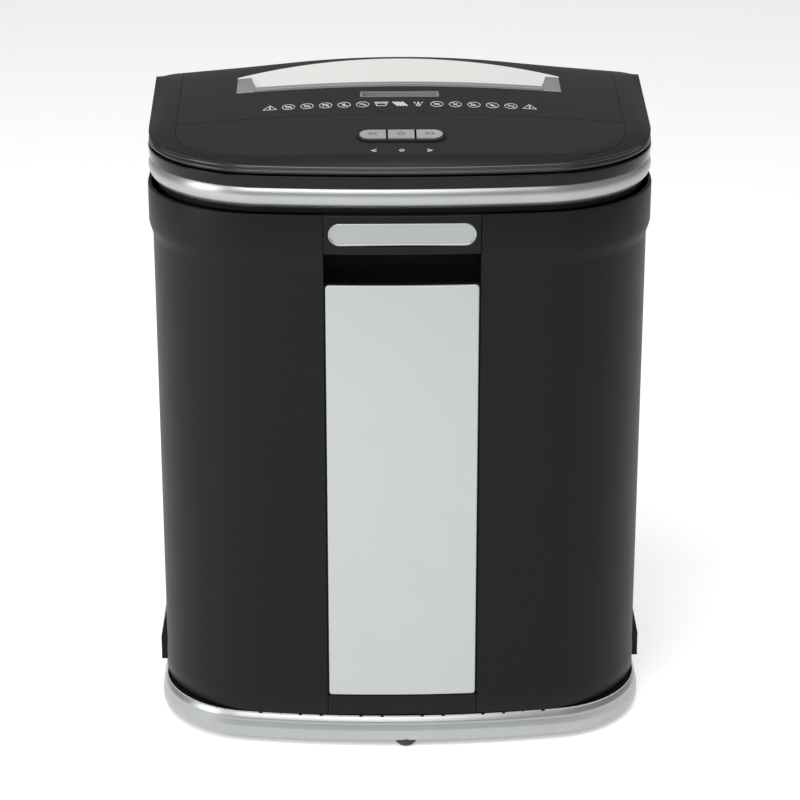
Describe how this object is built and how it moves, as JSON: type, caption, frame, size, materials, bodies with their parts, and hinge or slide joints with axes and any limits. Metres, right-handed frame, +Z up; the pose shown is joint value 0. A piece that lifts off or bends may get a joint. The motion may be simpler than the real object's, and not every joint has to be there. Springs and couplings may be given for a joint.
{
  "type": "paper shredder",
  "caption": "Free-standing office paper shredder with a D-shaped black cabinet, a pull-out bin with a silver front panel, castors, and a shredding head on top.",
  "frame": {"origin": "on the floor under the middle of the machine's bounding box", "axes": "+Z up, +X to the right seen from the front, +Y towards the back; the bin pulls out along -Y"},
  "size_m": [0.3992, 0.284, 0.52],
  "materials": {
    "black_shell": "satin, fine spark texture",
    "head_cover": "satin, fine spark texture",
    "gloss_black": "high gloss",
    "silver_paint": "satin silver paint",
    "inner_black": "matte",
    "bucket_plastic": "matte",
    "guide_plastic": "semi-gloss light grey",
    "grey_plastic": "satin grey",
    "button_silver": "satin silver",
    "window_tint": "smoked",
    "rocker_black": "satin",
    "castor_black": "matte",
    "wheel_rubber": "matte",
    "rail_steel": "zinc plated",
    "cutter_steel": "hardened, oiled",
    "bush_bronze": "sintered",
    "gear_nylon": "natural nylon",
    "comb_plastic": "glass-filled",
    "motor_steel": "zinc grey",
    "rotor_copper": "varnished windings",
    "board_green": "solder resist"
  },
  "bodies": {
    "cabinet": {"base_tray": "inner_black", "castor_cups": "inner_black", "base_ring": "silver_paint", "rear_cabinet": "black_shell", "runner_rails": "rail_steel", "front_foot": "wheel_rubber", "head_chassis": "inner_black", "silver_trim_band": "silver_paint", "gloss_bezel": "gloss_black", "top_cover": "head_cover", "throat_panel": "head_cover", "control_panel": "head_cover", "paper_guide": "guide_plastic", "throat_frame": "grey_plastic", "card_chute": "grey_plastic", "button_bezel": "gloss_black", "indicator_windows": "window_tint", "control_board": "board_green", "left_frame_plate": "rail_steel", "right_frame_plate": "rail_steel", "shaft_bushes": "bush_bronze", "stripper_combs": "comb_plastic", "tie_rods": "rail_steel", "motor_can": "motor_steel", "gear_cover": "inner_black", "bin_sensor": "inner_black", "mains_gland": "inner_black", "rocker_frame": "inner_black", "head_screws": "rail_steel"},
    "bin": {"bin_front_shell": "black_shell", "collar_centre": "black_shell", "panel_carrier": "inner_black", "silver_panel": "silver_paint", "badge_plate": "silver_paint", "grab_pocket": "inner_black", "bin_carriage": "inner_black", "bin_glides": "gear_nylon", "waste_bucket": "bucket_plastic", "sensor_magnet": "rail_steel"},
    "reverse_key": {"reverse_button": "button_silver"},
    "power_key": {"power_button": "button_silver"},
    "forward_key": {"forward_button": "button_silver"},
    "front_cutter": {"front_cutter_shaft": "cutter_steel", "front_cutter_discs": "cutter_steel", "front_sync_gear": "gear_nylon", "main_gear": "gear_nylon"},
    "rear_cutter": {"rear_cutter_shaft": "cutter_steel", "rear_cutter_discs": "cutter_steel", "rear_sync_gear": "gear_nylon"},
    "idler": {"idler_gear": "gear_nylon"},
    "rotor": {"motor_rotor": "rotor_copper"},
    "rocker": {"power_rocker": "rocker_black"},
    "front_left_swivel": {"front_left_castor": "castor_black"},
    "front_left_roller": {"front_left_wheels": "wheel_rubber"},
    "front_right_swivel": {"front_right_castor": "castor_black"},
    "front_right_roller": {"front_right_wheels": "wheel_rubber"},
    "rear_left_swivel": {"rear_left_castor": "castor_black"},
    "rear_left_roller": {"rear_left_wheels": "wheel_rubber"},
    "rear_right_swivel": {"rear_right_castor": "castor_black"},
    "rear_right_roller": {"rear_right_wheels": "wheel_rubber"}
  },
  "joints": [
    {"name": "bin_slide", "type": "slide", "parent": "cabinet", "child": "bin", "axis": [0, -1, 0], "range_m": [0, 0.22]},
    {"name": "reverse_press", "type": "slide", "parent": "cabinet", "child": "reverse_key", "axis": [0, 0.1565, -0.9877], "range_m": [0, 0.0012], "stiffness_N_per_m": 400, "springref_m": -0.0005},
    {"name": "power_press", "type": "slide", "parent": "cabinet", "child": "power_key", "axis": [0, 0.1565, -0.9877], "range_m": [0, 0.0012], "stiffness_N_per_m": 400, "springref_m": -0.0005},
    {"name": "forward_press", "type": "slide", "parent": "cabinet", "child": "forward_key", "axis": [0, 0.1565, -0.9877], "range_m": [0, 0.0012], "stiffness_N_per_m": 400, "springref_m": -0.0005},
    {"name": "front_cutter_spin", "type": "hinge", "parent": "cabinet", "child": "front_cutter", "pos_m": [0, -0.008, 0.4095], "axis": [1, 0, 0], "continuous": true},
    {"name": "rear_cutter_spin", "type": "hinge", "parent": "cabinet", "child": "rear_cutter", "pos_m": [0, 0.024, 0.4095], "axis": [1, 0, 0], "continuous": true},
    {"name": "idler_spin", "type": "hinge", "parent": "cabinet", "child": "idler", "pos_m": [0, -0.03864, 0.43521], "axis": [1, 0, 0], "continuous": true},
    {"name": "rotor_spin", "type": "hinge", "parent": "cabinet", "child": "rotor", "pos_m": [0, -0.06199, 0.41886], "axis": [1, 0, 0], "continuous": true},
    {"name": "rocker_tilt", "type": "hinge", "parent": "cabinet", "child": "rocker", "pos_m": [0.096, 0.135, 0.4315], "axis": [1, 0, 0], "range_deg": [0, 12]},
    {"name": "front_left_swivel", "type": "hinge", "parent": "cabinet", "child": "front_left_swivel", "pos_m": [-0.138, -0.08599, 0.03], "axis": [0, 0, 1], "continuous": true},
    {"name": "front_left_roll", "type": "hinge", "parent": "front_left_swivel", "child": "front_left_roller", "pos_m": [-0.138, -0.08099, 0.013], "axis": [1, 0, 0], "continuous": true},
    {"name": "front_right_swivel", "type": "hinge", "parent": "cabinet", "child": "front_right_swivel", "pos_m": [0.138, -0.08599, 0.03], "axis": [0, 0, 1], "continuous": true},
    {"name": "front_right_roll", "type": "hinge", "parent": "front_right_swivel", "child": "front_right_roller", "pos_m": [0.138, -0.08099, 0.013], "axis": [1, 0, 0], "continuous": true},
    {"name": "rear_left_swivel", "type": "hinge", "parent": "cabinet", "child": "rear_left_swivel", "pos_m": [-0.148, 0.105, 0.03], "axis": [0, 0, 1], "continuous": true},
    {"name": "rear_left_roll", "type": "hinge", "parent": "rear_left_swivel", "child": "rear_left_roller", "pos_m": [-0.148, 0.11, 0.013], "axis": [1, 0, 0], "continuous": true},
    {"name": "rear_right_swivel", "type": "hinge", "parent": "cabinet", "child": "rear_right_swivel", "pos_m": [0.148, 0.105, 0.03], "axis": [0, 0, 1], "continuous": true},
    {"name": "rear_right_roll", "type": "hinge", "parent": "rear_right_swivel", "child": "rear_right_roller", "pos_m": [0.148, 0.11, 0.013], "axis": [1, 0, 0], "continuous": true}
  ],
  "couplings": [
    {"joint": "rear_cutter_spin", "follows": "front_cutter_spin", "ratio": -1},
    {"joint": "idler_spin", "follows": "front_cutter_spin", "ratio": -3.5714},
    {"joint": "rotor_spin", "follows": "front_cutter_spin", "ratio": 13.393}
  ]
}
